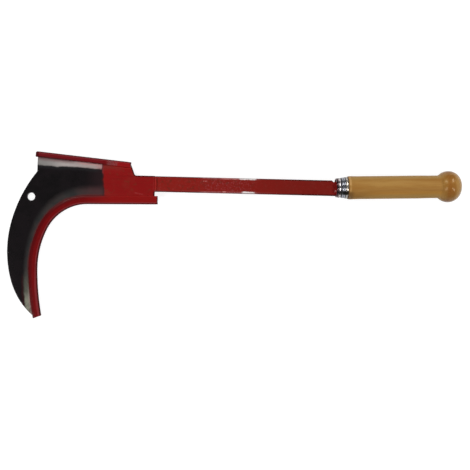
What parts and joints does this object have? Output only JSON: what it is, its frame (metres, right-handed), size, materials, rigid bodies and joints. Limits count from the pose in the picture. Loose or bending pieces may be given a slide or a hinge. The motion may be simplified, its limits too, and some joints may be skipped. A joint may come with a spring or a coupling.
{
  "type": "double-edged sickle",
  "caption": "Hooked sickle with a straight back edge, its plate blade lapped on a long flat bar, a knob-ended turned grip with a beaded ferrule, and push-on guards on both edges.",
  "frame": {"origin": "centre of the grip's straight turned part, on the grip's axis", "axes": "+X along the grip toward its knob, +Y toward the back of the blade (the side of the straight edge), +Z out of the blade's front face, the one with the wide grind"},
  "size_m": [0.5782, 0.2126, 0.04],
  "materials": {
    "blackened_steel": "black scale under thin lacquer, red paint at the root, ground bright along both edges",
    "red_paint": "dipped red enamel, semi-gloss, chipped along the corners",
    "chrome_plate": "polished",
    "varnished_wood": "pale turned hardwood under clear gloss varnish",
    "red_plastic": "extruded crimson plastic, satin gloss"
  },
  "bodies": {
    "tool": {"blade": "blackened_steel", "shank": "red_paint", "lap_welds": "red_paint", "ferrule": "chrome_plate", "grip": "varnished_wood"},
    "back_guard": {"back_edge_guard": "red_plastic"},
    "hook_guard": {"hook_edge_guard": "red_plastic"}
  },
  "joints": [
    {"name": "back_guard_pull", "type": "slide", "parent": "tool", "child": "back_guard", "axis": [0.1297, 0.9916, 0], "range_m": [0, 0.03]},
    {"name": "hook_guard_pull", "type": "slide", "parent": "tool", "child": "hook_guard", "axis": [0.7071, -0.7071, 0], "range_m": [0, 0.03]}
  ]
}
